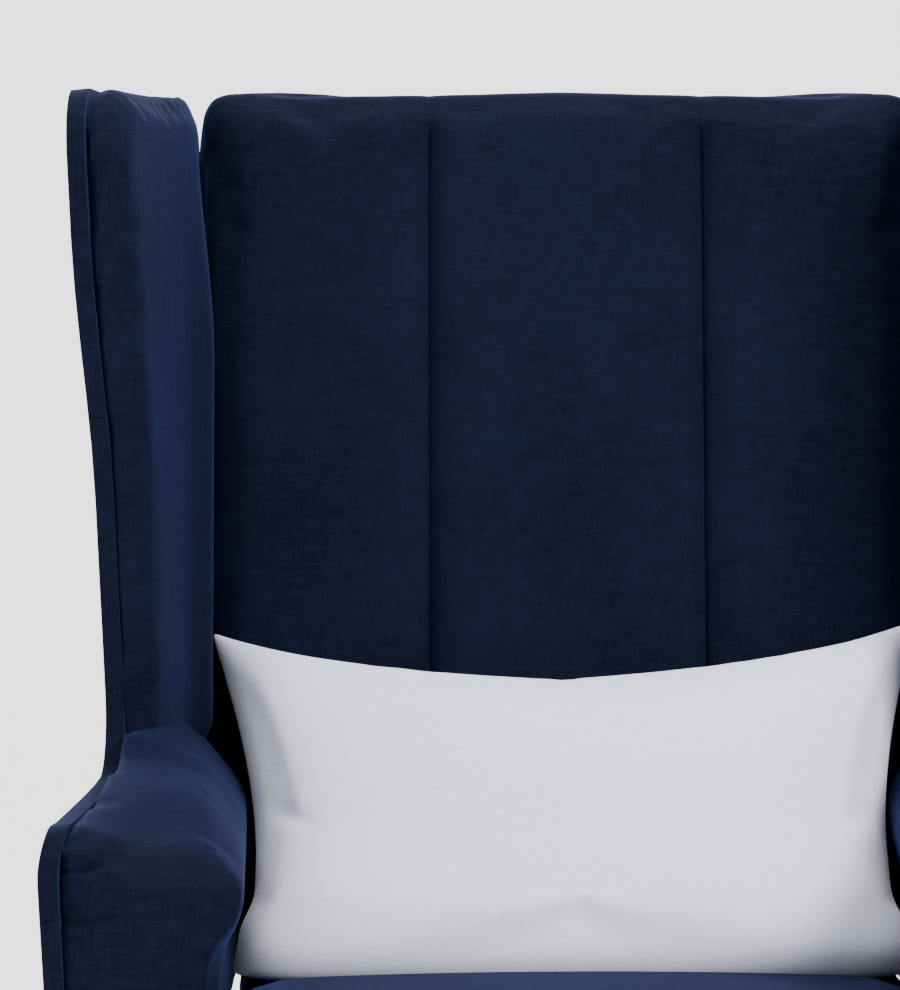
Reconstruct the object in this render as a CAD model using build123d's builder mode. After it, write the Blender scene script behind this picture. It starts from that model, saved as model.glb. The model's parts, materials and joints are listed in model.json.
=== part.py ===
from build123d import *
from math import cos, radians, sin
import os

# Push-back wing recliner armchair, made of separate pieces.
# The chair faces -Y, +X is to the right of someone looking at it, +Z is up.
# The origin is on the floor under the middle of the chair. Millimetres.
# Pieces on the chair's -X side are drawn and mirrored to the +X side.

os.makedirs("parts", exist_ok=True)

# ---- Driving dimensions ----
top_height = 1119            # highest point of the wings
half_depth = 403.5             # chair depth is twice this
base_bottom = 172            # underside of the timber base

# Side frame: a flat plywood panel that splays and leans outwards
panel_foot_x = -308          # inner face at the origin of its plane
panel_splay = 0.065          # sideways shift per mm of depth
panel_lean = 0.055           # sideways shift per mm of height
panel_thickness = 12
cover_thickness = 10
arm_front_y = -330
arm_top_front, arm_top_rear = 588, 604
wing_foot_y, wing_tip_y = -12, 18
rear_foot_y, rear_waist_y, rear_tip_y = 266, 290, 392
waist_height = 560
pad_margin = 16              # soft edge beyond the plywood edge

# Upholstered arm
arm_inner_x = -246           # bulge of the arm pad
arm_wall_x = -262            # arm pad beside the seat cushion
arm_foot_x = -272            # front of the arm below the cushion
arm_rear_y = 145
arm_foot_height = 400

# Backrest: a plane leaning back from the seat
back_lean = 12.4             # degrees from vertical
back_foot_y, back_foot_z = 138, 480
back_rise = 655              # length of the back above its foot point
cushion_drop = 41            # cushion below the foot point
cover_drop = 118             # outside cover below the foot point
shoulder_rise = 148          # where the back widens above the arms
back_waist_x, back_shoulder_x, back_crown_x = 238, 282, 297
back_cushion_depth = 90
back_total_depth = 127
back_gap_x = 300.5           # clear width each side for the back to tilt

# Leg fixings
bolt_radius = 4
front_leg_spot, rear_leg_spot = (-308, -232), (-262, 226)

# Seat
seat_front_y, seat_rear_y = -half_depth, 120
seat_cushion_x = 256
seat_cushion_bottom = 384
seat_top_front, seat_top_rear = 456, 432
seat_rail_top, seat_rail_bottom = 365, 315
seat_rail_x = 264
rail_thickness = 22

# Steel mechanism: plates are 4 thick and lie in planes of constant x
plate = 4
base_plate_x = 283           # outer face of the plate on the side rail
swing_link_x = 276
seat_plate_x = 268
pivot_plate_x = 242
footrest_link_x = 234
carrier_x = 226
bracket_x = 218
pin_radius = 5
pin_clearance = 0.05
head_radius, head_height = 8, 2.5

# Pivots as (y, z) with the chair upright
swing_length, swing_tilt = 75, 32
rear_base_pivot = (60, 235)
front_base_pivot = (-120, 235)
footrest_link_length, footrest_link_angle = 170, -45
rear_footrest_pivot = (-215, 285)
front_footrest_pivot = (-286, 322)
footrest_pivot = (-344, 262)


def along(point, length, angle):
    """Point at a distance and an angle from another, in the YZ plane."""
    return (point[0] + length * cos(radians(angle)), point[1] + length * sin(radians(angle)))


rear_seat_pivot = along(rear_base_pivot, swing_length, 90 - swing_tilt)
front_seat_pivot = along(front_base_pivot, swing_length, 90 - swing_tilt)
rear_carrier_pivot = along(rear_footrest_pivot, footrest_link_length, footrest_link_angle)
front_carrier_pivot = along(front_footrest_pivot, footrest_link_length, footrest_link_angle)

panel_plane = Plane(
    origin=(panel_foot_x, 0, 0), x_dir=(panel_splay, 1, 0), z_dir=(1, -panel_splay, panel_lean)
)
lean = radians(back_lean)
back_plane = Plane(
    origin=(0, back_foot_y, back_foot_z), x_dir=(-1, 0, 0), z_dir=(0, cos(lean), -sin(lean))
)  # local x to the left, local y up the back, local z backwards


def back_point(rise, depth):
    """World (y, z) of a point on the back, from its rise and its depth behind the front."""
    return (
        back_foot_y + rise * sin(lean) + depth * cos(lean),
        back_foot_z + rise * cos(lean) - depth * sin(lean),
    )


back_pivot = back_point(-105, 80)


def save(name, part):
    """Label one node and write its STEP file."""
    part.label = name
    export_step(part, f"parts/{name}.step")


def save_pair(name, left):
    """Write a piece of the -X side and its mirror image."""
    save(f"{name}_left", left)
    save(f"{name}_right", left.mirror(Plane.YZ))


def save_both(name, left):
    """Write a piece and its mirror image as one node of separate solids."""
    save(name, Compound(children=[*left.solids(), *left.mirror(Plane.YZ).solids()]))


def yz(x):
    """Sketch plane at a given x whose local axes are +Y and +Z and whose normal is +X."""
    return Plane(origin=(x, 0, 0), x_dir=(0, 1, 0), z_dir=(1, 0, 0))


def side_outline(margin):
    """Closed outline of the arm and wing seen from the side, inset by a margin."""
    FilletPolyline(
        (rear_foot_y, base_bottom + 2),
        (arm_front_y + margin, base_bottom + 2),
        (arm_front_y + margin, arm_top_front - margin),
        (wing_foot_y + margin, arm_top_rear - margin),
        (wing_tip_y + margin, top_height - margin),
        (rear_tip_y, top_height - 8 - margin),
        (rear_waist_y, waist_height),
        radius=[2, 6, 46 - margin / 2, 60, 60, 28, 150],
        close=True,
    )


# ================= Fixed base: side frames =================
with BuildPart() as side_panel:
    with BuildSketch(panel_plane.offset(-panel_thickness)):
        with BuildLine():
            side_outline(pad_margin)
        make_face()
    extrude(amount=panel_thickness)
save_pair("side_panel", side_panel.part)

with BuildPart() as outer_side_cover:
    with BuildSketch(panel_plane.offset(-panel_thickness - cover_thickness)):
        with BuildLine():
            side_outline(0)
        make_face()
    extrude(amount=panel_thickness + cover_thickness)
    add(side_panel.part, mode=Mode.SUBTRACT)
save_pair("outer_side_cover", outer_side_cover.part)

# Arm board and front post, which stiffen the panel inside the arm
with BuildPart() as arm_board:
    with BuildSketch(Plane.XY.offset(545)):
        with BuildLine():
            Polyline((-400, -296), (-276, -296), (-276, 120), (-400, 120), close=True)
        make_face()
    extrude(amount=20)
    split(bisect_by=panel_plane, keep=Keep.TOP)
save_pair("arm_board", arm_board.part)

with BuildPart() as arm_post:
    with BuildSketch(Plane.XY.offset(base_bottom + 6)):
        with BuildLine():
            Polyline((-400, -308), (-290, -308), (-290, -268), (-400, -268), close=True)
        make_face()
    extrude(amount=545 - base_bottom - 6)
    split(bisect_by=panel_plane, keep=Keep.TOP)
save_pair("arm_post", arm_post.part)

# Arm pad: wraps the top, the inside and the front of the arm
with BuildPart() as arm_pad:
    with BuildSketch(panel_plane):
        with BuildLine():
            FilletPolyline(
                (arm_rear_y, arm_foot_height),
                (arm_front_y + 22, arm_foot_height),
                (arm_front_y + 22, base_bottom),
                (arm_front_y, base_bottom),
                (arm_front_y, arm_top_front),
                (arm_rear_y, arm_top_rear + 6),
                radius=[2, 4, 2, 2, 46, 4],
                close=True,
            )
        make_face()
    extrude(amount=130)
    with BuildSketch(Plane.XZ):
        with BuildLine():
            FilletPolyline(
                (arm_foot_x, 0),
                (arm_foot_x, 392),
                (arm_wall_x, 402),
                (arm_wall_x, 492),
                (arm_inner_x, 528),
                (arm_inner_x, 572),
                (-286, 612),
                (-286, 700),
                (-450, 700),
                (-450, 0),
                radius=[2, 4, 4, 20, 20, 22, 8, 2, 2, 2],
                close=True,
            )
        make_face()
    extrude(amount=600, both=True, mode=Mode.INTERSECT)
    add(arm_board.part, mode=Mode.SUBTRACT)
    add(arm_post.part, mode=Mode.SUBTRACT)
save_pair("arm_pad", arm_pad.part)


def wing_section(height):
    """Plan outline of the wing pad at one height."""
    back_front_y = back_foot_y + (height - back_foot_z) * sin(lean) / cos(lean)
    front_y = wing_foot_y + (wing_tip_y - wing_foot_y) * (height - 600) / (top_height - 600)
    rear_y = back_front_y + 118
    with BuildSketch(Plane.XY.offset(height)) as section:
        with BuildLine():
            Polyline(
                (-420, front_y),
                (panel_foot_x + panel_splay * front_y - panel_lean * height + 6, front_y),
                (-292, back_front_y - 42),
                (-back_gap_x, back_front_y - 6),
                (-back_gap_x, rear_y),
                (-420, rear_y),
                close=True,
            )
        make_face()
    return section.sketch.face()


with BuildPart() as wing_pad:
    loft([wing_section(height) for height in (614, 864, 1140)], ruled=True)
    split(bisect_by=panel_plane, keep=Keep.TOP)
    with BuildSketch(panel_plane):
        with BuildLine():
            side_outline(0)
        make_face()
    extrude(amount=140, mode=Mode.INTERSECT)
save_pair("wing_pad", wing_pad.part)

# ================= Fixed base: rails =================
with BuildPart() as side_rail:
    with BuildSketch(Plane.XY.offset(base_bottom)):
        with BuildLine():
            Polyline(
                (-400, -266), (-base_plate_x, -266), (-base_plate_x, 256), (-400, 256), close=True
            )
        make_face()
    extrude(amount=78)
    split(bisect_by=panel_plane, keep=Keep.TOP)
    with Locations((*front_leg_spot, base_bottom + 12)):
        Cylinder(radius=bolt_radius, height=24, mode=Mode.SUBTRACT)
save_pair("side_rail", side_rail.part)

with BuildPart() as cross_rail_middle:
    with Locations((0, 0, base_bottom + 18)):
        Box(2 * base_plate_x, 60, 36)
save("cross_rail_middle", cross_rail_middle.part)

with BuildPart() as cross_rail_rear:
    with Locations((0, rear_leg_spot[1], base_bottom + 18)):
        Box(2 * base_plate_x, 60, 36)
    with Locations(*[(side * rear_leg_spot[0], rear_leg_spot[1], base_bottom + 12)
                     for side in (-1, 1)]):
        Cylinder(radius=bolt_radius, height=24, mode=Mode.SUBTRACT)
save("cross_rail_rear", cross_rail_rear.part)

with BuildPart() as rear_lower_panel:
    with Locations((0, 262, (base_bottom + 300) / 2)):
        Box(720, 12, 300 - base_bottom)
    split(bisect_by=panel_plane, keep=Keep.TOP)
    split(bisect_by=Plane(panel_plane.origin * -1, x_dir=(-panel_splay, 1, 0),
                          z_dir=(-1, -panel_splay, panel_lean)), keep=Keep.TOP)
save("rear_lower_panel", rear_lower_panel.part)

# ================= Legs =================
leg_top, glide_height, leg_plate_height, bolt_reach = base_bottom - 3, 5, 3, 24


def leg(spot, toe):
    """Square tapered leg under one spot of the base, its foot moved towards a toe point."""
    with BuildPart() as tapered:
        with BuildSketch(Plane.XY.offset(glide_height)):
            with Locations(toe):
                RectangleRounded(30, 30, 4)
        with BuildSketch(Plane.XY.offset(leg_top)):
            with Locations(spot):
                RectangleRounded(48, 48, 5)
        loft()
        with Locations((*spot, leg_top - bolt_reach / 2)):
            Cylinder(radius=bolt_radius, height=bolt_reach, mode=Mode.SUBTRACT)
    return tapered.part


front_leg_toe, rear_leg_toe = (-312, -240), (-274, 256)
leg_spots, leg_toes = [front_leg_spot, rear_leg_spot], [front_leg_toe, rear_leg_toe]
save_pair("front_leg", leg(front_leg_spot, front_leg_toe))
save_pair("rear_leg", leg(rear_leg_spot, rear_leg_toe))

with BuildPart() as leg_plates:
    with Locations(*[(x, y, leg_top + leg_plate_height / 2) for x, y in leg_spots]):
        Box(46, 46, leg_plate_height)
        Cylinder(radius=bolt_radius, height=leg_plate_height, mode=Mode.SUBTRACT)
save_both("leg_plates", leg_plates.part)

with BuildPart() as leg_bolts:
    with Locations(*[(x, y, leg_top + leg_plate_height / 2) for x, y in leg_spots]):
        Cylinder(radius=bolt_radius, height=2 * bolt_reach + leg_plate_height)
save_both("leg_bolts", leg_bolts.part)

with BuildPart() as leg_glides:
    with Locations(*[(x, y, glide_height / 2) for x, y in leg_toes]):
        Cylinder(radius=11, height=glide_height)
save_both("leg_glides", leg_glides.part)


# ================= Mechanism pieces =================
def bar(x, points, radius, holes, hole_radius):
    """Flat steel link: the hull of round ends, with holes, its outer face at -x."""
    with BuildPart() as link:
        with BuildSketch(yz(-x)):
            with Locations(*points):
                Circle(radius)
            make_hull()
            with Locations(*holes):
                Circle(hole_radius, mode=Mode.SUBTRACT)
        extrude(amount=plate)
    return link.part


def pins(spots):
    """Rivets: each runs from a plate's outer face to a link and has a head on the link."""
    with BuildPart() as rivets:
        for (y, z), start_x, end_x, head_side in spots:
            with BuildSketch(yz(-start_x)):
                with Locations((y, z)):
                    Circle(pin_radius)
            extrude(amount=start_x - end_x)
            head_x = end_x if head_side > 0 else start_x
            with BuildSketch(yz(-head_x)):
                with Locations((y, z)):
                    Circle(head_radius)
            extrude(amount=head_height * head_side)
    return rivets.part


running_hole = pin_radius + pin_clearance
plate_bolt_spots = [(y, 232) for y in (-136, -30, 130, 205)]
plate_bolt_radius = 4

with BuildPart() as mechanism_plate:
    with BuildSketch(yz(-base_plate_x)):
        with BuildLine():
            FilletPolyline(
                (-150, 212), (222, 212), (222, 385), (172, 385), (150, 262), (-150, 262),
                radius=[12, 12, 16, 16, 30, 12], close=True,
            )
        make_face()
        with Locations(rear_base_pivot, front_base_pivot, back_pivot):
            Circle(pin_radius, mode=Mode.SUBTRACT)
        with Locations(*plate_bolt_spots):
            Circle(plate_bolt_radius, mode=Mode.SUBTRACT)
    extrude(amount=plate)
save_pair("mechanism_plate", mechanism_plate.part)

with BuildPart() as mechanism_bolts:
    with BuildSketch(yz(-base_plate_x)):
        with Locations(*plate_bolt_spots):
            Circle(plate_bolt_radius)
    extrude(amount=plate)
    with BuildSketch(yz(-base_plate_x + plate)):
        with Locations(*plate_bolt_spots):
            RegularPolygon(6.5, 6)
    extrude(amount=2)
save_both("mechanism_bolts", mechanism_bolts.part)

link_inner = swing_link_x - plate
save_both("base_pivot_pins", pins([
    (rear_base_pivot, base_plate_x, link_inner, 1),
    (front_base_pivot, base_plate_x, link_inner, 1),
    (back_pivot, base_plate_x, link_inner, 1),
]))

for link_name, low, high in (
    ("rear_swing_links", rear_base_pivot, rear_seat_pivot),
    ("front_swing_links", front_base_pivot, front_seat_pivot),
):
    save_both(link_name, bar(swing_link_x, [low, high], 13, [low, high], running_hole))

# ================= Moving seat =================
with BuildPart() as seat_side_rail:
    with Locations((-seat_rail_x + rail_thickness / 2, -100, (seat_rail_top + seat_rail_bottom) / 2)):
        Box(rail_thickness, 436, seat_rail_top - seat_rail_bottom)
save_pair("seat_side_rail", seat_side_rail.part)

front_rail_y, front_rail_depth, front_rail_height = -335, 34, 18
with BuildPart() as seat_front_rail:
    with Locations((0, front_rail_y, seat_rail_top - front_rail_height / 2)):
        Box(2 * seat_rail_x, front_rail_depth, front_rail_height)
save("seat_front_rail", seat_front_rail.part)

with BuildPart() as seat_rear_rail:
    with Locations((0, 118 + rail_thickness / 2, (seat_rail_top + seat_rail_bottom) / 2)):
        Box(2 * seat_rail_x, rail_thickness, seat_rail_top - seat_rail_bottom)
save("seat_rear_rail", seat_rear_rail.part)

with BuildPart() as seat_plates:
    with BuildSketch(yz(-seat_plate_x)):
        with BuildLine():
            FilletPolyline(
                (-106, 284), (120, 284), (120, 345), (-106, 345), radius=10, close=True
            )
        make_face()
        with Locations(rear_seat_pivot, front_seat_pivot):
            Circle(pin_radius, mode=Mode.SUBTRACT)
    extrude(amount=plate)
save_both("seat_plates", seat_plates.part)

with BuildPart() as footrest_pivot_plates:
    with BuildSketch(yz(-pivot_plate_x)):
        with BuildLine():
            FilletPolyline(
                (-304, 305), (-232, 269), (-198, 269), (-198, 356), (-304, 356),
                radius=[8, 8, 8, 8, 8], close=True,
            )
        make_face()
        with Locations(rear_footrest_pivot, front_footrest_pivot):
            Circle(pin_radius, mode=Mode.SUBTRACT)
    extrude(amount=plate)
save_both("footrest_pivot_plates", footrest_pivot_plates.part)

save_both("seat_pivot_pins", pins([
    (rear_seat_pivot, swing_link_x, seat_plate_x - plate, -1),
    (front_seat_pivot, swing_link_x, seat_plate_x - plate, -1),
    (rear_footrest_pivot, pivot_plate_x, footrest_link_x - plate, 1),
    (front_footrest_pivot, pivot_plate_x, footrest_link_x - plate, 1),
]))

# Sinuous springs run from the front rail to the rear rail
spring_radius, spring_loop, spring_width, spring_count = 1.8, 22, 46, 5
spring_z = seat_rail_top + 2 * spring_radius + 0.4
spring_start, spring_end = -334, 130
spring_turns = int((spring_end - spring_start) / spring_loop)
with BuildPart() as seat_springs:
    for spring_index in range(spring_count):
        centre_x = (spring_index - (spring_count - 1) / 2) * 92
        with BuildLine() as wire:
            corners = [(centre_x, spring_start, spring_z)]
            for turn in range(spring_turns):
                side = spring_width / 2 * (-1) ** turn
                corners.append((centre_x + side, spring_start + turn * spring_loop + 4, spring_z))
                corners.append((centre_x + side, spring_start + (turn + 1) * spring_loop - 4, spring_z))
            corners.append((centre_x, spring_start + spring_turns * spring_loop, spring_z))
            FilletPolyline(*corners, radius=6)
        with BuildSketch(Plane(origin=wire.line @ 0, z_dir=wire.line % 0)):
            Circle(spring_radius)
        sweep(path=wire.line)
save("seat_springs", seat_springs.part)

clip_ys = (spring_start, spring_start + spring_turns * spring_loop)
with BuildPart() as spring_clips:
    for clip_y in clip_ys:
        with Locations(*[((i - (spring_count - 1) / 2) * 92, clip_y, seat_rail_top + 0.8)
                         for i in range(spring_count)]):
            Box(16, 12, 1.6)
save("spring_clips", spring_clips.part)

with BuildPart() as seat_deck:
    with Locations((0, (seat_rear_y - 350) / 2 + 5, seat_cushion_bottom - 5)):
        Box(2 * 250, seat_rear_y + 350, 10)
save("seat_deck", seat_deck.part)

with BuildPart() as seat_cushion:
    with BuildSketch(yz(-seat_cushion_x)):
        with BuildLine():
            FilletPolyline(
                (seat_front_y, seat_cushion_bottom),
                (seat_rear_y, seat_cushion_bottom),
                (seat_rear_y, seat_top_rear),
                (seat_front_y, seat_top_front),
                radius=[14, 14, 22, 34],
                close=True,
            )
        make_face()
    extrude(amount=2 * seat_cushion_x)
    fillet(seat_cushion.faces().sort_by(Axis.X)[0].edges(), radius=12)
    fillet(seat_cushion.faces().sort_by(Axis.X)[-1].edges(), radius=12)
save("seat_cushion", seat_cushion.part)

# ================= Footrest =================
save_both("footrest_rear_links", bar(
    footrest_link_x, [rear_footrest_pivot, rear_carrier_pivot], 10,
    [rear_footrest_pivot, rear_carrier_pivot], running_hole))
save_both("footrest_front_links", bar(
    footrest_link_x, [front_footrest_pivot, front_carrier_pivot], 10,
    [front_footrest_pivot, front_carrier_pivot], running_hole))
save_both("footrest_carriers", bar(
    carrier_x, [rear_carrier_pivot, front_carrier_pivot, footrest_pivot], 11,
    [rear_carrier_pivot, front_carrier_pivot, footrest_pivot], pin_radius))
save_both("footrest_pins", pins([
    (rear_carrier_pivot, footrest_link_x, carrier_x - plate, -1),
    (front_carrier_pivot, footrest_link_x, carrier_x - plate, -1),
    (footrest_pivot, carrier_x, bracket_x - plate, 1),
]))

cross_bar_spot = (-306, 246)
with BuildPart() as footrest_cross_bar:
    with BuildSketch(yz(-carrier_x + plate)):
        with Locations(cross_bar_spot):
            Circle(9)
            Circle(7.5, mode=Mode.SUBTRACT)
    extrude(amount=2 * (carrier_x - plate))
save("footrest_cross_bar", footrest_cross_bar.part)

board_rear_y, board_front_y = -356, -368
with BuildPart() as footrest_board:
    with Locations((0, (board_rear_y + board_front_y) / 2, 279)):
        Box(2 * 244, board_rear_y - board_front_y, 190)
save("footrest_board", footrest_board.part)

with BuildPart() as footrest_pad:
    with Locations((0, (board_front_y - half_depth) / 2, 279)):
        Box(2 * 260, half_depth + board_front_y, 202)
    fillet(footrest_pad.faces().sort_by(Axis.Y)[0].edges(), radius=16)
save("footrest_pad", footrest_pad.part)

with BuildPart() as footrest_brackets:
    with BuildSketch(yz(-bracket_x)):
        with BuildLine():
            Polyline(
                (board_rear_y, 226), (board_rear_y, 300), (board_rear_y + 10, 300),
                (footrest_pivot[0] + 14, 268), (footrest_pivot[0] + 14, 252),
                (board_rear_y + 10, 226), close=True,
            )
        make_face()
        with Locations(footrest_pivot):
            Circle(running_hole, mode=Mode.SUBTRACT)
    extrude(amount=plate)
save_both("footrest_brackets", footrest_brackets.part)


# ================= Backrest =================
def back_outline(inset, foot):
    """Outline of the back, narrow between the arms and wide above them."""
    FilletPolyline(
        (-back_waist_x + inset, foot),
        (-back_waist_x + inset, shoulder_rise + inset),
        (-back_shoulder_x + inset, shoulder_rise + inset),
        (-back_crown_x + inset, back_rise - 4 - inset),
        (0, back_rise + 4 - inset),
        (back_crown_x - inset, back_rise - 4 - inset),
        (back_shoulder_x - inset, shoulder_rise + inset),
        (back_waist_x - inset, shoulder_rise + inset),
        (back_waist_x - inset, foot),
        radius=[6, 12, 12, 24, 400, 24, 12, 12, 6],
        close=True,
    )


with BuildPart() as back_cushion:
    with BuildSketch(back_plane):
        with BuildLine():
            back_outline(0, -cushion_drop)
        make_face()
    extrude(amount=back_cushion_depth)
    fillet(back_cushion.faces().sort_by(Axis.Y)[0].edges(), radius=18)
save("back_cushion", back_cushion.part)

cover_wall = 8
with BuildPart() as outside_back_cover:
    with BuildSketch(back_plane.offset(back_cushion_depth)):
        with BuildLine():
            back_outline(0, -cover_drop)
        make_face()
    extrude(amount=back_total_depth - back_cushion_depth)
    with BuildSketch(back_plane.offset(back_cushion_depth)):
        with BuildLine():
            back_outline(cover_wall, -cover_drop - 30)
        make_face()
    extrude(amount=back_total_depth - back_cushion_depth - cover_wall, mode=Mode.SUBTRACT)
save("outside_back_cover", outside_back_cover.part)

webbing_thickness = 1.5
frame_depth = back_cushion_depth + webbing_thickness
frame_thickness = 24
bracket_plate_x = back_waist_x - cover_wall
upright_outer = bracket_plate_x - plate
with BuildPart() as back_upright:
    with BuildSketch(back_plane.offset(frame_depth)):
        with BuildLine():
            Polyline(
                (upright_outer, -114), (upright_outer, 590), (upright_outer - 30, 590),
                (upright_outer - 30, -114), close=True,
            )
        make_face()
    extrude(amount=frame_thickness)
save_pair("back_upright", back_upright.part)

for rail_name, low, high, reach in (
    ("back_top_rail", 590, 640, 274), ("back_bottom_rail", -40, 10, upright_outer - 30),
    ("back_middle_rail", 250, 290, upright_outer - 30),
):
    with BuildPart() as back_rail:
        with BuildSketch(back_plane.offset(frame_depth)):
            with Locations((0, (low + high) / 2)):
                Rectangle(2 * reach, high - low)
        extrude(amount=frame_thickness)
    save(rail_name, back_rail.part)

with BuildPart() as back_webbing:
    with BuildSketch(back_plane.offset(back_cushion_depth)):
        with Locations(*[(x, 300) for x in (-138, -46, 46, 138)]):
            Rectangle(50, 660)
    extrude(amount=webbing_thickness)
save("back_webbing", back_webbing.part)

# Bracket: a pivot plate, a web under the arm and a plate on the upright
with BuildPart() as back_brackets:
    bracket_plane = Plane(
        origin=(-swing_link_x, back_foot_y, back_foot_z),
        x_dir=(0, cos(lean), -sin(lean)), z_dir=(1, 0, 0),
    )  # local x backwards from the front of the back, local y up the back
    with BuildSketch(bracket_plane):
        with Locations((80, -110)):
            Rectangle(40, 36)
        with Locations((80, -105)):
            Circle(running_hole, mode=Mode.SUBTRACT)
    extrude(amount=plate)
    with BuildSketch(bracket_plane):
        with Locations((75, -90)):
            Rectangle(26, 4)
    extrude(amount=swing_link_x - upright_outer)
    with BuildSketch(bracket_plane.offset(swing_link_x - bracket_plate_x)):
        with BuildLine():
            Polyline(
                (62, -92), (114, -92), (114, 20), (frame_depth, 20), (frame_depth, -56), (62, -74),
                close=True,
            )
        make_face()
    extrude(amount=plate)
save_both("back_brackets", back_brackets.part)

# ================= Loose lumbar pillow =================
pillow_x, pillow_height, pillow_depth, pillow_lean = 238, 320, 130, 45
pillow_centre = (0, 60, 561)
pillow_tilt = radians(pillow_lean)
pillow_plane = Plane(
    origin=pillow_centre, x_dir=(0, cos(pillow_tilt), -sin(pillow_tilt)), z_dir=(1, 0, 0)
)
with BuildPart() as lumbar_pillow:
    with BuildSketch(pillow_plane.offset(-pillow_x)):
        with BuildLine():
            ThreePointArc((0, -pillow_height / 2), (pillow_depth / 2, 0), (0, pillow_height / 2))
            ThreePointArc((0, pillow_height / 2), (-pillow_depth / 2, 0), (0, -pillow_height / 2))
        make_face()
    extrude(amount=2 * pillow_x)
save("lumbar_pillow", lumbar_pillow.part)

print("back pivot", [round(v, 2) for v in back_pivot])
for pivot_name, spot in (
    ("rear seat", rear_seat_pivot), ("front seat", front_seat_pivot),
    ("rear carrier", rear_carrier_pivot), ("front carrier", front_carrier_pivot),
):
    print(pivot_name, "pivot", [round(v, 2) for v in spot])
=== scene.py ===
# %% [markdown]
# # A push-back wing armchair in navy velvet
# The timber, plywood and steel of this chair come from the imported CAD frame. What a person sees and
# touches is mostly soft: velvet over foam, and a loose white pillow. This lesson dresses the frame one
# piece at a time. First the frame is loaded, because every cushion takes its place from it.

# %% Load the frame
import json
import math

import bpy
import numpy as np
from mathutils import Matrix, Vector


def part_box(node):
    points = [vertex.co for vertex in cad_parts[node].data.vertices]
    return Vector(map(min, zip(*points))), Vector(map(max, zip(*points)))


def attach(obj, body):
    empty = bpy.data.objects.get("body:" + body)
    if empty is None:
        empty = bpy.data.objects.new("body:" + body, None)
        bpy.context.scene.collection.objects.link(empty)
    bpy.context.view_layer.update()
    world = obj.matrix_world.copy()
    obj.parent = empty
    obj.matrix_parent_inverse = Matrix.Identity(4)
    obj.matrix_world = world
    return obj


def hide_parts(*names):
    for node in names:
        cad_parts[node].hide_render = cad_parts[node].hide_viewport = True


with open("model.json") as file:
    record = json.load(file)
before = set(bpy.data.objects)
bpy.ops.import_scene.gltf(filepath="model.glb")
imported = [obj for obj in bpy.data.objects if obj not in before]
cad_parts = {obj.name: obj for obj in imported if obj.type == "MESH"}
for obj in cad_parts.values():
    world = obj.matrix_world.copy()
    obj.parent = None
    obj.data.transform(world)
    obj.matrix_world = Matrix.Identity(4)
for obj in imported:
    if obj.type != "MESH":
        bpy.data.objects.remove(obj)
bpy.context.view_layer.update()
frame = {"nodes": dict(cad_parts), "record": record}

# %% [markdown]
# ## The studio
# A velvet chair is dark, so it is shown against a pale curved backdrop with no visible corner. The
# backdrop is one sheet: a floor whose far edge is extruded up, with the corner bevelled round. The
# camera stands four metres away with a long lens, a little left of the middle and just below the
# top of the back, and looks slightly down at the left wing, arm and pillow.

# %% Camera
camera_distance = 4.0
camera_x, camera_height = -0.150, 1.000
back_top_y = 0.278
turn_right, look_down = 0.857, 3.016

bpy.ops.object.camera_add(
    location=(camera_x, back_top_y - camera_distance, camera_height),
    rotation=(math.radians(90 - look_down), 0, math.radians(-turn_right)),
)
camera = bpy.context.object
camera.data.lens = 177.4
bpy.context.scene.camera = camera
print("camera", tuple(round(v, 3) for v in camera.location))


# %% Backdrop
def select_only(*pieces):
    """Select these pieces and nothing else, with the first one active."""
    bpy.ops.object.select_all(action="DESELECT")
    for piece in pieces:
        piece.select_set(True)
    bpy.context.view_layer.objects.active = pieces[0]


bpy.ops.object.select_all(action="DESELECT")
bpy.ops.mesh.primitive_plane_add(size=26, location=(0, 0, 0))
backdrop = bpy.context.object
backdrop.name = "studio_backdrop"
bpy.ops.object.mode_set(mode="EDIT")
bpy.ops.mesh.select_all(action="DESELECT")
bpy.ops.object.mode_set(mode="OBJECT")
for edge in backdrop.data.edges:
    ends = [backdrop.data.vertices[i].co.y for i in edge.vertices]
    edge.select = min(ends) > 0
bpy.ops.object.mode_set(mode="EDIT")
bpy.ops.mesh.extrude_region_move(TRANSFORM_OT_translate={"value": (0, 0, 12)})
bpy.ops.object.mode_set(mode="OBJECT")
bevel = backdrop.modifiers.new("cove", "BEVEL")
bevel.width, bevel.segments = 3.0, 24
select_only(backdrop)
bpy.ops.object.modifier_apply(modifier="cove")
bpy.ops.object.shade_smooth()
print("backdrop faces", len(backdrop.data.polygons))


# %% Lights
def softbox(name, place, aim, size, power, colour):
    """A square area light at a place, turned towards the point it lights."""
    bpy.ops.object.light_add(type="AREA", location=place)
    light = bpy.context.object
    light.name = name
    light.rotation_euler = (Vector(aim) - Vector(place)).to_track_quat("-Z", "Y").to_euler()
    light.data.size = size
    light.data.energy = power
    light.data.color = colour


softbox("key_softbox", (2.2, -2.7, 2.3), (0, 0, 0.8), 1.2, 155, (1.0, 0.99, 0.97))
softbox("top_softbox", (-0.3, 0.2, 3.2), (0, 0.1, 0.8), 1.6, 78, (1.0, 1.0, 1.0))
softbox("fill_softbox", (-2.4, -2.6, 1.5), (0, 0, 0.7), 2.0, 26, (0.93, 0.96, 1.0))

world = bpy.data.worlds.new("pale_room")
world.use_nodes = True
world.node_tree.nodes["Background"].inputs["Color"].default_value = (0.91, 0.94, 1.0, 1)
world.node_tree.nodes["Background"].inputs["Strength"].default_value = 0.42
bpy.context.scene.world = world

# %% [markdown]
# ## Finishes
# Velvet looks dark face on and pale at its edges, because its pile stands up and scatters light along
# the surface. That is what a sheen lobe does, so the velvet is a dark blue base with sheen. Its pile
# is brushed this way and that, and the backing weave shows through as faint crossing threads. Those
# two effects are shader groups, so each fabric can use them with its own values.


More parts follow.
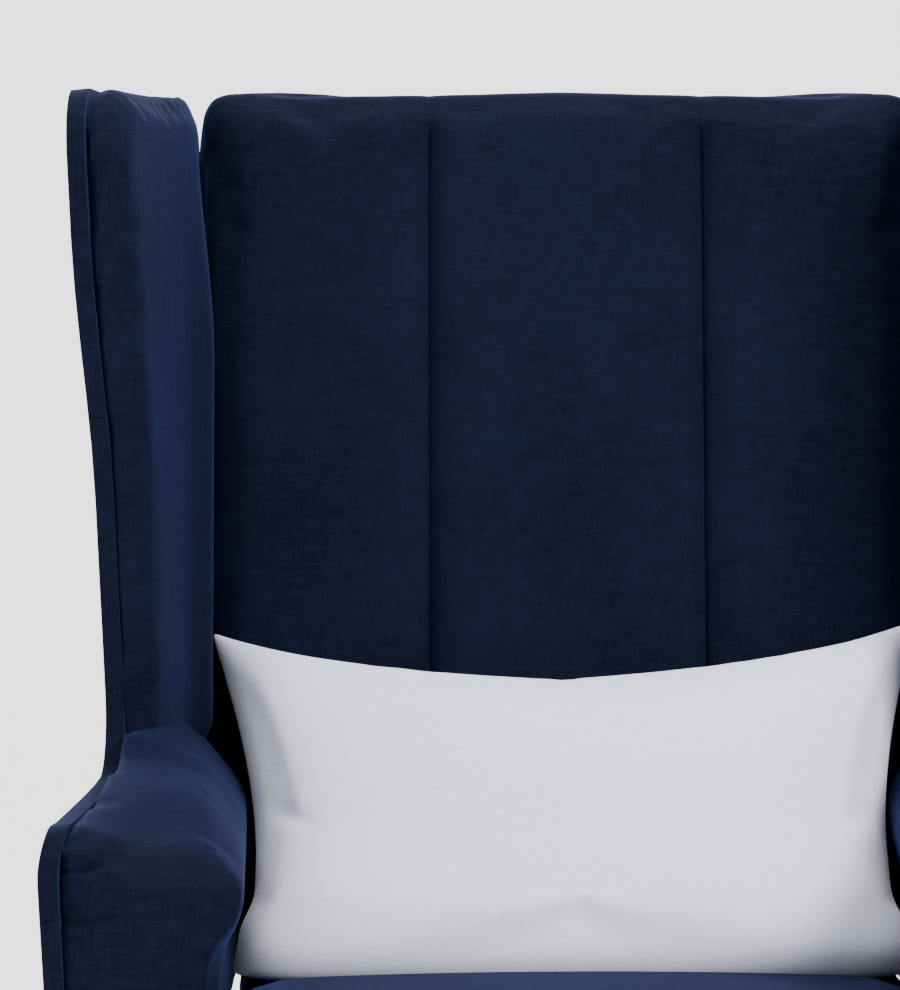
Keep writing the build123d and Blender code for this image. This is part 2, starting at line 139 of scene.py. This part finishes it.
# %% Shader helpers
def new_group(name, inputs, outputs):
    """An empty shader node group with named inputs and outputs, and its two end nodes."""
    group = bpy.data.node_groups.new(name, "ShaderNodeTree")
    for label, kind, value in inputs:
        socket = group.interface.new_socket(name=label, in_out="INPUT", socket_type=kind)
        socket.default_value = value
    for label, kind in outputs:
        group.interface.new_socket(name=label, in_out="OUTPUT", socket_type=kind)
    return group, group.nodes.new("NodeGroupInput"), group.nodes.new("NodeGroupOutput")


def stretched_noise(tree, vector, scale, detail=2.0, roughness=0.5):
    """Noise whose grain is drawn out: a small scale along an axis makes long streaks."""
    mapping = tree.nodes.new("ShaderNodeMapping")
    mapping.inputs["Scale"].default_value = scale
    noise = tree.nodes.new("ShaderNodeTexNoise")
    noise.inputs["Scale"].default_value = 1.0
    noise.inputs["Detail"].default_value = detail
    noise.inputs["Roughness"].default_value = roughness
    tree.links.new(vector, mapping.inputs["Vector"])
    tree.links.new(mapping.outputs["Vector"], noise.inputs["Vector"])
    return noise.outputs["Fac"]


def maths(tree, kind, first, second):
    """One Math node; each input is a socket or a number."""
    node = tree.nodes.new("ShaderNodeMath")
    node.operation = kind
    for socket, value in zip(node.inputs, (first, second)):
        if isinstance(value, (int, float)):
            socket.default_value = value
        else:
            tree.links.new(value, socket)
    return node.outputs["Value"]


def ramp(tree, value, low, high):
    """Stretch a value so that low becomes 0 and high becomes 1."""
    node = tree.nodes.new("ShaderNodeMapRange")
    node.inputs["From Min"].default_value = low
    node.inputs["From Max"].default_value = high
    tree.links.new(value, node.inputs["Value"])
    return node.outputs["Result"]


def blend_colours(tree, amount, first, second):
    """Mix two colours, each a socket or a colour value, by an amount."""
    node = tree.nodes.new("ShaderNodeMix")
    node.data_type = "RGBA"
    tree.links.new(amount, node.inputs["Factor"])
    for socket, value in ((node.inputs["A"], first), (node.inputs["B"], second)):
        if isinstance(value, tuple):
            socket.default_value = value
        else:
            tree.links.new(value, socket)
    return node.outputs["Result"]


# %% Woven threads group
weave_group, weave_in, weave_out = new_group(
    "woven_threads",
    [("Vector", "NodeSocketVector", (0, 0, 0)), ("Thread Scale", "NodeSocketFloat", 1.0),
     ("Dark", "NodeSocketColor", (0.01, 0.01, 0.01, 1)), ("Light", "NodeSocketColor", (0.1, 0.1, 0.1, 1))],
    [("Color", "NodeSocketColor"), ("Height", "NodeSocketFloat")],
)
scaled = weave_group.nodes.new("ShaderNodeVectorMath")
scaled.operation = "SCALE"
weave_group.links.new(weave_in.outputs["Vector"], scaled.inputs[0])
weave_group.links.new(weave_in.outputs["Thread Scale"], scaled.inputs["Scale"])
upright_threads = stretched_noise(weave_group, scaled.outputs["Vector"], (420, 420, 46), 3.0)
level_threads = stretched_noise(weave_group, scaled.outputs["Vector"], (46, 46, 420), 3.0)
crossing = maths(weave_group, "ADD", upright_threads, level_threads)
crossing = ramp(weave_group, crossing, 0.72, 1.30)
thread_colour = blend_colours(
    weave_group, crossing, weave_in.outputs["Dark"], weave_in.outputs["Light"]
)
weave_group.links.new(thread_colour, weave_out.inputs["Color"])
weave_group.links.new(crossing, weave_out.inputs["Height"])
print("group", weave_group.name)

# %% Brushed pile group
pile_group, pile_in, pile_out = new_group(
    "brushed_pile",
    [("Vector", "NodeSocketVector", (0, 0, 0)), ("Color", "NodeSocketColor", (0.1, 0.1, 0.1, 1)),
     ("Brushed Color", "NodeSocketColor", (0.2, 0.2, 0.2, 1)), ("Amount", "NodeSocketFloat", 0.5)],
    [("Color", "NodeSocketColor"), ("Height", "NodeSocketFloat")],
)
broad = stretched_noise(pile_group, pile_in.outputs["Vector"], (7, 7, 5), 3.0, 0.55)
fine = stretched_noise(pile_group, pile_in.outputs["Vector"], (60, 60, 38), 4.0, 0.65)
brushing = maths(pile_group, "ADD", ramp(pile_group, broad, 0.4, 0.7),
                 maths(pile_group, "MULTIPLY", ramp(pile_group, fine, 0.4, 0.75), 0.55))
brushing = maths(pile_group, "MULTIPLY", brushing, pile_in.outputs["Amount"])
pile_colour = blend_colours(
    pile_group, brushing, pile_in.outputs["Color"], pile_in.outputs["Brushed Color"]
)
pile_group.links.new(pile_colour, pile_out.inputs["Color"])
pile_group.links.new(brushing, pile_out.inputs["Height"])
print("group", pile_group.name)


# %% Material helpers
def new_material(name):
    """A node material, with its tree and its Principled shader."""
    material = bpy.data.materials.new(name)
    material.use_nodes = True
    return material, material.node_tree, material.node_tree.nodes["Principled BSDF"]


def place_group(tree, group, values):
    """A group node whose inputs are sockets, colours or numbers."""
    node = tree.nodes.new("ShaderNodeGroup")
    node.node_tree = group
    for label, value in values.items():
        if isinstance(value, bpy.types.NodeSocket):
            tree.links.new(value, node.inputs[label])
        else:
            node.inputs[label].default_value = value
    return node


def bump(tree, shader, height, strength, distance):
    """Raise the surface by a height, in metres, through the shader's normal."""
    node = tree.nodes.new("ShaderNodeBump")
    node.inputs["Strength"].default_value = strength
    node.inputs["Distance"].default_value = distance
    tree.links.new(height, node.inputs["Height"])
    tree.links.new(node.outputs["Normal"], shader.inputs["Normal"])


def object_place(tree):
    """The socket that gives a point's place on the object, in metres."""
    return tree.nodes.new("ShaderNodeTexCoord").outputs["Object"]


# %% Navy velvet
velvet, tree, shader = new_material("navy_velvet")
place = object_place(tree)
threads = place_group(tree, weave_group, {
    "Vector": place, "Thread Scale": 1.0,
    "Dark": (0.0013, 0.0020, 0.0072, 1), "Light": (0.0038, 0.0057, 0.0200, 1),
})
pile = place_group(tree, pile_group, {
    "Vector": place, "Color": threads.outputs["Color"],
    "Brushed Color": (0.0062, 0.0088, 0.0285, 1), "Amount": 0.32,
})
tree.links.new(pile.outputs["Color"], shader.inputs["Base Color"])
shader.inputs["Roughness"].default_value = 0.85
shader.inputs["Specular IOR Level"].default_value = 0.07
shader.inputs["Sheen Weight"].default_value = 0.17
shader.inputs["Sheen Roughness"].default_value = 0.38
shader.inputs["Sheen Tint"].default_value = (0.16, 0.25, 0.80, 1)
bump(tree, shader, maths(tree, "ADD", threads.outputs["Height"], pile.outputs["Height"]), 0.35, 0.0006)
print("material", velvet.name)

# %% White pillow cloth
linen, tree, shader = new_material("white_pillow_cloth")
threads = place_group(tree, weave_group, {
    "Vector": object_place(tree), "Thread Scale": 2.4,
    "Dark": (0.77, 0.77, 0.93, 1), "Light": (0.87, 0.87, 1.0, 1),
})
tree.links.new(threads.outputs["Color"], shader.inputs["Base Color"])
shader.inputs["Roughness"].default_value = 0.9
shader.inputs["Specular IOR Level"].default_value = 0.15
shader.inputs["Sheen Weight"].default_value = 0.12
shader.inputs["Sheen Roughness"].default_value = 0.5
bump(tree, shader, threads.outputs["Height"], 0.25, 0.0003)
print("material", linen.name)


# %% Timber, plywood, steel and the rest
def grained_wood(name, dark, light, streaks, roughness, coat):
    """Wood whose grain is noise drawn out along one axis."""
    material, tree, shader = new_material(name)
    grain = stretched_noise(tree, object_place(tree), streaks, 5.0, 0.62)
    colour = blend_colours(tree, ramp(tree, grain, 0.32, 0.68), dark, light)
    tree.links.new(colour, shader.inputs["Base Color"])
    tree.links.new(maths(tree, "ADD", maths(tree, "MULTIPLY", grain, 0.2), roughness - 0.1),
                   shader.inputs["Roughness"])
    shader.inputs["Coat Weight"].default_value = coat
    shader.inputs["Coat Roughness"].default_value = 0.25
    bump(tree, shader, grain, 0.25, 0.0004)
    return material


leg_wood = grained_wood("dark_leg_wood", (0.022, 0.011, 0.006, 1), (0.075, 0.036, 0.018, 1),
                        (130, 130, 9), 0.42, 0.4)
timber = grained_wood("frame_timber", (0.36, 0.23, 0.12, 1), (0.62, 0.44, 0.27, 1),
                      (14, 90, 90), 0.65, 0.0)
plywood = grained_wood("plywood", (0.46, 0.31, 0.18, 1), (0.68, 0.50, 0.32, 1), (60, 8, 60), 0.7, 0.0)


def mottled(name, dark, light, scale, roughness, metallic=0.0):
    """A finish with small patches, as on powder coat, zinc, felt and nylon."""
    material, tree, shader = new_material(name)
    patches = stretched_noise(tree, object_place(tree), (scale, scale, scale), 4.0, 0.6)
    colour = blend_colours(tree, ramp(tree, patches, 0.35, 0.7), dark, light)
    tree.links.new(colour, shader.inputs["Base Color"])
    shader.inputs["Metallic"].default_value = metallic
    tree.links.new(maths(tree, "ADD", maths(tree, "MULTIPLY", patches, 0.25), roughness - 0.12),
                   shader.inputs["Roughness"])
    bump(tree, shader, patches, 0.2, 0.0002)
    return material


finishes = {
    "velvet": velvet,
    "pillow": linen,
    "timber": timber,
    "plywood": plywood,
    "leg_wood": leg_wood,
    "steel": mottled("black_powder_coat", (0.012, 0.012, 0.013, 1), (0.03, 0.03, 0.032, 1), 900, 0.45),
    "bright_steel": mottled("zinc_plate", (0.42, 0.42, 0.43, 1), (0.66, 0.66, 0.66, 1), 160, 0.35, 1.0),
    "webbing": mottled("jute_webbing", (0.20, 0.15, 0.09, 1), (0.42, 0.33, 0.21, 1), 700, 0.9),
    "felt": mottled("grey_felt", (0.10, 0.10, 0.10, 1), (0.26, 0.26, 0.25, 1), 300, 0.95),
    "nylon": mottled("black_nylon", (0.01, 0.01, 0.01, 1), (0.03, 0.03, 0.03, 1), 400, 0.5),
}
paper, tree, shader = new_material("backdrop_paper")
shader.inputs["Base Color"].default_value = (0.30, 0.30, 0.30, 1)
shader.inputs["Emission Color"].default_value = (0.90, 0.90, 0.90, 1)
shader.inputs["Emission Strength"].default_value = 2.5
shader.inputs["Roughness"].default_value = 1.0
shader.inputs["Specular IOR Level"].default_value = 0.0
backdrop.data.materials.append(paper)

# %% [markdown]
# The timber and steel nodes keep their CAD shape, so they only need their finish. The record says
# which material slot each node has.

# %% Finish the CAD nodes
for part in frame["record"]["subparts"]:
    node = frame["nodes"][part["node"]]
    node.data.materials.clear()
    node.data.materials.append(finishes[part["material_slot"]])
print("finished", len(frame["nodes"]), "nodes")

# %% [markdown]
# ## How a pad is made
# Foam under velvet has no hard edges. Each pad starts as a copy of the CAD solid that marks its room.
# It is remeshed into even small faces, relaxed so that its edges round off, and then puffed up with a
# cloth simulation under slight air pressure, the way foam fills a tight cover. No point may move
# further than a cap, so that the pad stays clear of its neighbours. Relaxing and puffing change its
# size a little, so it is stretched back to the CAD solid's box after each. Seams are pressed in last,
# because the remesh would lose them.


# %% Pad helpers
def points_of(piece):
    """The piece's vertices as an array, one row each."""
    flat = np.empty(len(piece.data.vertices) * 3)
    piece.data.vertices.foreach_get("co", flat)
    return flat.reshape(-1, 3)


def move_points(piece, points):
    """Put the piece's vertices where the array says."""
    piece.data.vertices.foreach_set("co", points.ravel())
    piece.data.update()


def normals_of(piece):
    """The piece's vertex normals as an array, one row each."""
    flat = np.empty(len(piece.data.vertices) * 3)
    piece.data.vertex_normals.foreach_get("vector", flat)
    return flat.reshape(-1, 3)


def rise(values, start, end):
    """A smooth step: 0 at the start value, 1 at the end value."""
    t = np.clip((values - start) / (end - start), 0, 1)
    return t * t * (3 - 2 * t)


def apply_modifier(piece, kind, **settings):
    """Add one modifier, set it up and apply it."""
    modifier = piece.modifiers.new(kind.lower(), kind)
    for label, value in settings.items():
        setattr(modifier, label, value)
    select_only(piece)
    bpy.ops.object.modifier_apply(modifier=modifier.name)


def copy_of(node, name):
    """A merged copy of a CAD solid, ready to shape."""
    piece = bpy.data.objects.new(name, frame["nodes"][node].data.copy())
    bpy.context.scene.collection.objects.link(piece)
    select_only(piece)
    bpy.ops.object.mode_set(mode="EDIT")
    bpy.ops.mesh.select_all(action="SELECT")
    bpy.ops.mesh.remove_doubles(threshold=0.00001)
    bpy.ops.object.mode_set(mode="OBJECT")
    return piece


def fit_to(piece, node):
    """Stretch the piece to the box of its CAD solid, to undo what relaxing or puffing changed."""
    low, high = (np.array(corner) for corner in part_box(node))
    points = points_of(piece)
    now_low, now_high = points.min(axis=0), points.max(axis=0)
    move_points(piece, low + (points - now_low) * (high - low) / (now_high - now_low))


def pad_from(node, name, voxel, relax):
    """An evenly meshed, rounded copy of a CAD solid."""
    piece = copy_of(node, name)
    apply_modifier(piece, "REMESH", mode="VOXEL", voxel_size=voxel)
    apply_modifier(piece, "SMOOTH", factor=0.5, iterations=relax)
    fit_to(piece, node)
    return piece


def puff(piece, cap, pressure=4.0, frames=20):
    """Swell the piece with a short cloth simulation, moving no point more than the cap."""
    start = points_of(piece)
    cloth = piece.modifiers.new("air", "CLOTH")
    cloth.settings.quality = 5
    cloth.settings.use_pressure = True
    cloth.settings.uniform_pressure_force = pressure
    cloth.settings.effector_weights.gravity = 0
    cloth.point_cache.frame_end = frames
    for step in range(1, frames + 1):
        bpy.context.scene.frame_set(step)
    swollen = piece.evaluated_get(bpy.context.evaluated_depsgraph_get())
    moved = points_of(swollen) - start
    piece.modifiers.remove(cloth)
    bpy.context.scene.frame_set(1)
    distance = np.linalg.norm(moved, axis=1, keepdims=True)
    move_points(piece, start + moved * np.minimum(1, cap / np.maximum(distance, 1e-9)))
    print(piece.name, "puffed by up to", round(float(min(distance.max(), cap)) * 1000, 1), "mm")


def press_seam(piece, distance, width, depth):
    """Press the cover in along its normals, most where the distance array is nought."""
    points = points_of(piece)
    press = depth * np.exp(-(distance / width) ** 2)
    move_points(piece, points - normals_of(piece) * press[:, None])


def line_distance(points, start, end):
    """How far each point is from a straight line between two places."""
    start, end = np.array(start), np.array(end)
    along = np.clip((points - start) @ (end - start) / ((end - start) @ (end - start)), 0, 1)
    return np.linalg.norm(points - start - along[:, None] * (end - start), axis=1)


def finish_pad(piece, body, nodes, material):
    """Smooth, colour and place a finished pad, and hide the CAD solids that it replaces."""
    piece.data.materials.clear()
    piece.data.materials.append(material)
    piece.data.shade_smooth()
    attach(piece, body)
    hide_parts(*nodes)
    print(piece.name, len(piece.data.polygons), "faces")


def mirrored(piece, name):
    """The other side's piece: its own mesh, turned left for right."""
    twin = bpy.data.objects.new(name, piece.data.copy())
    bpy.context.scene.collection.objects.link(twin)
    twin.data.transform(Matrix.Scale(-1, 4, (1, 0, 0)))
    twin.data.flip_normals()
    return twin


# %% [markdown]
# ## The channelled back
# The inside back is one foam pad whose cover is sewn down in two upright lines, which leaves three
# channels. A sewn line pulls the cover in steeply on both sides, like a quarter circle, so each line
# is pressed in with that profile. Edge loops are cut right on each line first, so it stays crisp.
# Low down, the pad also swells sideways by up to 6 cm a side, which closes the gap behind the arms.

# %% Inside back
back_lean = math.radians(12.4)
back_inward = np.array((0, math.cos(back_lean), -math.sin(back_lean)))
channel_line_x = 0.111
channel_shift = 0.004  # both sewn lines sit this far to the right
channel_roll, channel_depth = 0.028, 0.016
cut_spacing = 0.004
widest_half = 0.297

inside_back = pad_from("back_cushion", "inside_back", voxel=0.007, relax=9)
puff(inside_back, cap=0.012, pressure=3.0)
fit_to(inside_back, "back_cushion")
apply_modifier(inside_back, "SUBSURF", levels=1, render_levels=1)
select_only(inside_back)
bpy.ops.object.mode_set(mode="EDIT")
for side in (-1, 1):
    for step in (-cut_spacing, 0, cut_spacing):
        bpy.ops.mesh.select_all(action="SELECT")
        place_of_cut = (side * channel_line_x + step + channel_shift, 0, 0)
        bpy.ops.mesh.bisect(plane_co=place_of_cut, plane_no=(1, 0, 0))
bpy.ops.object.mode_set(mode="OBJECT")

points = points_of(inside_back)
normals = normals_of(inside_back)
facing = np.clip(-normals @ back_inward * 1.6 + 0.25, 0, 1)
topward = np.clip(normals[:, 2] * 1.4 - 0.3, 0, 1)
press = np.zeros(len(points))
for side in (-1, 1):
    from_line = np.abs(points[:, 0] - channel_shift - side * channel_line_x)
    away = np.clip(from_line / channel_roll, 0, 1)
    press += channel_depth * (1 - np.sqrt(1 - (1 - away) ** 2))
press *= 1 - 0.7 * rise(points[:, 2], 1.075, 1.112)
points += (press * facing)[:, None] * back_inward
points[:, 2] -= press * topward * 0.05
level = points[:, 2]
behind_arms = rise(points[:, 1], 0.150, 0.166)
swell = (0.006 + 0.056 * behind_arms) * rise(level, 0.640, 0.615)
swell += 0.010 * rise(level, 0.60, 0.63) * rise(level, 0.80, 0.72)
swell += 0.006 * rise(level, 0.70, 0.80) * rise(level, 1.10, 0.95)
points[:, 0] += np.sign(points[:, 0]) * swell * rise(np.abs(points[:, 0]), 0.12, 0.235)
points[:, 0] = np.clip(points[:, 0], -widest_half, widest_half)
move_points(inside_back, points)
finish_pad(inside_back, "backrest", ["back_cushion"], velvet)

# %% [markdown]
# ## Wings and arms
# Wing and arm pads are pulled out over the front edge of the plywood side, which leaves only a slim
# border outside their seam. In front view the side is a little narrower at the waist, where wing
# meets arm, and wider at the arm's front, so one sway is used for all three pieces of a side.


# %% The sway of the side
wing_over_edge, arm_over_edge = 0.013, 0.017
border_slimming = 0.008


def sway(points):
    """How far the front of the left side moves inward (positive) at each point."""
    y, z = points[:, 1], points[:, 2]
    front = rise(y, 0.20, 0.06)
    waist = 0.0085 * rise(z, 1.0, 0.80) * rise(y, -0.33, -0.06) * front
    arm_front = 0.0065 * rise(y, -0.06, -0.28) * rise(z, 0.60, 0.55)
    return waist - arm_front


def outward_of_panel(points):
    """How far each point is outward of the plywood's inner face."""
    return -0.308 + 0.065 * points[:, 1] - 0.055 * points[:, 2] - points[:, 0]


def near_side(points, reach):
    """1 at the plywood's inner face, falling to 0 at the reach inward of it."""
    return rise(-outward_of_panel(points), reach, 0)


def arm_dip(points):
    """How far the arm's top dips between the wing and the arm's front."""
    y, z = points[:, 1], points[:, 2]
    return 0.005 * rise(y, -0.33, -0.25) * rise(y, -0.02, -0.07) * rise(z, 0.54, 0.58)


# %% [markdown]
# The wing's cover rolls down towards the back at the top, and its inner edge swells out in front of
# the back cushion. At the foot it runs on down into the arm, so no gap shows between the two.

# %% Wing pads
wing = pad_from("wing_pad_left", "wing_pad_left_velvet", voxel=0.005, relax=30)
puff(wing, cap=0.010)
fit_to(wing, "wing_pad_left")
apply_modifier(wing, "SUBSURF", levels=1, render_levels=1)
points = points_of(wing)
across = np.clip((points[:, 0] + 0.366) / 0.070, 0, 1)
points[:, 2] -= 0.005 * across ** 2 * rise(points[:, 2], 1.04, 1.11)
points[:, 2] -= 0.018 * rise(points[:, 2], 0.70, 0.62)
back_front = 0.138 + (points[:, 2] - 0.48) * math.tan(back_lean)
corner = np.exp(-((points[:, 1] - back_front + 0.034) / 0.030) ** 2)
corner *= rise(points[:, 0], -0.318, -0.300)
points[:, 0] += corner * (0.015 * rise(points[:, 2], 1.10, 0.90) - 0.003)
points[:, 1] -= 0.006 * near_side(points, 0.03) * rise(points[:, 1], 0.12, 0.05)
points[:, 2] += 0.004 * near_side(points, 0.03) * rise(points[:, 2], 1.08, 1.11)
points[:, 0] += sway(points) * near_side(points, 0.05) - wing_over_edge * near_side(points, 0.028)
move_points(wing, points)
other_wing = mirrored(wing, "wing_pad_right_velvet")
finish_pad(wing, "base", ["wing_pad_left"], velvet)
finish_pad(other_wing, "base", ["wing_pad_right"], velvet)

# %% [markdown]
# The arm pad wraps the arm's top, inside and front in one piece of velvet. Its top sweeps up where
# the wing stands on it, and its spare cloth lies in small pleats at the outer front corner.

# %% Arm pads
arm = pad_from("arm_pad_left", "arm_pad_left_velvet", voxel=0.006, relax=14)
puff(arm, cap=0.006)
fit_to(arm, "arm_pad_left")
apply_modifier(arm, "SUBSURF", levels=1, render_levels=1)
points = points_of(arm)
wing_foot = np.array((-0.341, -0.012)), np.array((-0.292, 0.125))
along = (wing_foot[1] - wing_foot[0]) / np.linalg.norm(wing_foot[1] - wing_foot[0])
ahead = (points[:, :2] - wing_foot[0]) @ np.array((along[1], -along[0]))
upward = np.clip(normals_of(arm)[:, 2] * 1.5, 0, 1)
sweep = 0.024 * np.exp(-(np.clip(ahead, 0, 1) / 0.045) ** 1.5)
sweep *= rise(points[:, 0], -0.280, -0.325)
points[:, 2] += sweep * upward - arm_dip(points)
rounding = rise(points[:, 1], -0.15, -0.335) * rise(points[:, 2], 0.53, 0.585)
points[:, 2] -= 0.022 * rounding * rise(points[:, 0], -0.358, -0.315)
inner = rise(points[:, 0], -0.31, -0.27) * rise(points[:, 2], 0.47, 0.53)
points[:, 0] -= (0.022 * (points[:, 1] + 0.33) - 0.003) * inner
move_points(arm, points)
apply_modifier(arm, "SMOOTH", factor=0.5, iterations=12)
held = near_side(points, 0.030)[:, None]
points = points * held + points_of(arm) * (1 - held)
points[:, 0] += sway(points) * near_side(points, 0.05) - arm_over_edge * near_side(points, 0.034)
move_points(arm, points)
pleats = [
    ((-0.384, 0, 0.553), (-0.350, 0, 0.563), 0.0040, 0.0045),
    ((-0.356, 0, 0.560), (-0.332, 0, 0.565), 0.0045, 0.0035),
    ((-0.378, 0, 0.521), (-0.336, 0, 0.528), 0.0035, 0.0030),
]
for start, end, width, depth in pleats:
    points = points_of(arm)
    behind_front = rise(points[:, 1], -0.285, -0.270) * 0.1
    distance = line_distance(points * np.array((1, 0, 1)), start, end) + behind_front
    press_seam(arm, distance, width, depth)
print("pleats", len(pleats))
other_arm = mirrored(arm, "arm_pad_right_velvet")
finish_pad(arm, "base", ["arm_pad_left"], velvet)
finish_pad(other_arm, "base", ["arm_pad_right"], velvet)

# %% [markdown]
# The outer side is a thin layer of wadding under tight velvet on plywood. Its edges are only bevelled,
# so the slim border keeps a clear, even line. At the rear it turns over the plywood's edge as a lip.


# %% Outer side covers
def tight_cover(node, name, width=0.005):
    """A CAD solid with softly rounded edges, for cloth pulled tight over board."""
    piece = copy_of(node, name)
    bpy.ops.object.mode_set(mode="EDIT")
    bpy.ops.mesh.select_all(action="SELECT")
    bpy.ops.mesh.dissolve_limited(angle_limit=math.radians(0.5))
    bpy.ops.object.mode_set(mode="OBJECT")
    apply_modifier(piece, "BEVEL", width=width, segments=4, angle_limit=math.radians(35))
    return piece


cover = tight_cover("outer_side_cover_left", "outer_side_left_velvet")
lip_width, lip_back = 0.0125, 0.003
select_only(cover)
bpy.ops.object.mode_set(mode="EDIT")
for level in range(20, 112, 4):
    bpy.ops.mesh.select_all(action="SELECT")
    bpy.ops.mesh.bisect(plane_co=(0, 0, level / 100), plane_no=(0, 0, 1))
for depth in range(-30, 24, 4):
    bpy.ops.mesh.select_all(action="SELECT")
    bpy.ops.mesh.bisect(plane_co=(0, depth / 100, 0), plane_no=(0, 1, 0))
bpy.ops.object.mode_set(mode="OBJECT")
points = points_of(cover)
slimmer = border_slimming * np.clip(1 - outward_of_panel(points) / 0.022, 0, 1)
rear_edge = np.interp(points[:, 2], (0.174, 0.560, 1.111), (0.266, 0.290, 0.392))
at_rear = points[:, 1] > rear_edge - 0.010
lip = at_rear & (outward_of_panel(points) < 0.0165)
points[:, 0] += sway(points) - slimmer * rise(points[:, 1], 0.24, 0.12) + lip_width * lip
points[:, 1] += lip_back * at_rear
points[:, 2] -= arm_dip(points)
move_points(cover, points)
other_cover = mirrored(cover, "outer_side_right_velvet")
finish_pad(cover, "base", ["outer_side_cover_left"], velvet)
finish_pad(other_cover, "base", ["outer_side_cover_right"], velvet)

# %% [markdown]
# ## Seat, footrest and outside back
# The seat is a crowned boxed cushion. Its top and bottom panels are sewn to a band, and each of those
# seams pulls the cover in. It sinks a little under the pillow.

# %% Seat cushion
seat_front_y, seat_rear_y, seat_length = -0.4035, 0.12, 0.5235
seat_front_top, seat_rear_top, seat_fall = 0.456, 0.432, 0.024

seat = pad_from("seat_cushion", "seat_cushion_velvet", voxel=0.007, relax=8)
puff(seat, cap=0.012)
fit_to(seat, "seat_cushion")
apply_modifier(seat, "SUBSURF", levels=1, render_levels=1)
points = points_of(seat)
across = np.clip(1 - (points[:, 0] / 0.256) ** 2, 0, 1)
lengthwise = np.clip(1 - ((points[:, 1] + 0.142) / 0.262) ** 2, 0, 1)
on_top = rise(points[:, 2], 0.40, 0.44)
sunk = 0.010 * np.exp(-((points[:, 1] + 0.045) / 0.05) ** 2)
sunk *= rise(np.abs(points[:, 0]), 0.25, 0.2)
points[:, 2] += on_top * (0.010 * (across * lengthwise) ** 0.6 - sunk)
points[:, 0] *= 1.014
move_points(seat, points)
seat_top = seat_front_top - (points[:, 1] - seat_front_y) * seat_fall / seat_length
sideways = np.clip(1 - np.abs(normals_of(seat)[:, 2]) * 1.2, 0, 1)
for level in (seat_top - 0.014, np.full(len(points), 0.397)):
    distance = np.abs(points[:, 2] - level) + (1 - sideways) * 0.02
    press_seam(seat, distance, 0.004, 0.0035)
finish_pad(seat, "seat", ["seat_cushion"], velvet)

# %% Footrest pad
footrest = pad_from("footrest_pad", "footrest_pad_velvet", voxel=0.006, relax=7)
puff(footrest, cap=0.008)
fit_to(footrest, "footrest_pad")
apply_modifier(footrest, "SUBSURF", levels=1, render_levels=1)
finish_pad(footrest, "footrest", ["footrest_pad"], velvet)

# %% Outside back and rear panel
outside_back = tight_cover("outside_back_cover", "outside_back_velvet", width=0.006)
finish_pad(outside_back, "backrest", ["outside_back_cover"], velvet)
rear_panel = tight_cover("rear_lower_panel", "rear_lower_velvet", width=0.004)
finish_pad(rear_panel, "base", ["rear_lower_panel"], velvet)

# %% [markdown]
# ## The loose pillow
# A pillow is two flat sheets sewn together round their edge and then stuffed. Its corners stay where
# the sheets were, while its sides pull in and pucker. It starts as two grids a finger apart, bridged
# round the rim. They are shaped like a stuffed pillow, and a cloth simulation then adds the puckers.

# %% Lumbar pillow
pillow_tilt = math.radians(45)
pillow_middle = np.array((0, 0.060, 0.561))
pillow_bulge_front, pillow_bulge_rear, hem_thickness = 0.074, 0.058, 0.002
pillow_up = np.array((0, math.sin(pillow_tilt), math.cos(pillow_tilt)))
pillow_front = np.array((0, -math.cos(pillow_tilt), math.sin(pillow_tilt)))

bpy.ops.object.select_all(action="DESELECT")
bpy.ops.mesh.primitive_grid_add(x_subdivisions=90, y_subdivisions=52, size=2)
pillow = bpy.context.object
pillow.name = "lumbar_pillow_cloth"
bpy.ops.object.mode_set(mode="EDIT")
bpy.ops.mesh.select_all(action="SELECT")
bpy.ops.mesh.extrude_region_move(TRANSFORM_OT_translate={"value": (0, 0, 0.1)})
bpy.ops.mesh.select_all(action="SELECT")
bpy.ops.mesh.normals_make_consistent(inside=False)
bpy.ops.object.mode_set(mode="OBJECT")

flat = points_of(pillow)
u, v = flat[:, 0], flat[:, 1]
front_sheet = np.where(flat[:, 2] > 0.05, 1.0, -1.0)
upper = rise(v, -0.3, 0.9)
half_width = 0.252 + 0.036 * upper - 0.016 * upper * (1 - v ** 2)
top_edge = 0.182 - 0.066 * (1 - u ** 2)
bottom_edge = -0.178 + 0.004 * (1 - u ** 2)
height = bottom_edge + (top_edge - bottom_edge) * (v + 1) / 2
roundness = np.where(v > 0, 2.2, 4.0)
fullness = np.clip((1 - np.abs(u) ** 2.6) * (1 - np.abs(v) ** roundness), 0, 1) ** 0.55
bulge = np.where(front_sheet > 0, pillow_bulge_front, pillow_bulge_rear)
thickness = hem_thickness + bulge * fullness
shaped = (
    pillow_middle
    + (u * half_width)[:, None] * np.array((1, 0, 0))
    + height[:, None] * pillow_up
    + (front_sheet * thickness)[:, None] * pillow_front
)
shaped[:, 2] += shaped[:, 0] * math.tan(math.radians(1.0))
slump = rise(shaped[:, 2], 0.56, 0.45) * np.clip(1 - u ** 6, 0, 1) ** 0.5
shaped[:, 1] -= np.where(front_sheet > 0, 0.062, 0.020) * slump
shaped[:, 0] += 0.009 * u * rise(shaped[:, 2], 0.50, 0.465)
seat_level = seat_rear_top + (seat_rear_y - shaped[:, 1]) * seat_fall / seat_length
shaped[:, 2] = np.maximum(shaped[:, 2], seat_level)
move_points(pillow, shaped)
puff(pillow, cap=0.008, pressure=2.5, frames=16)
apply_modifier(pillow, "SUBSURF", levels=1, render_levels=1)
select_only(pillow)
bpy.ops.object.mode_set(mode="EDIT")
bpy.ops.mesh.select_all(action="SELECT")
bpy.ops.mesh.normals_make_consistent(inside=False)
bpy.ops.object.mode_set(mode="OBJECT")
finish_pad(pillow, "pillow", ["lumbar_pillow"], linen)
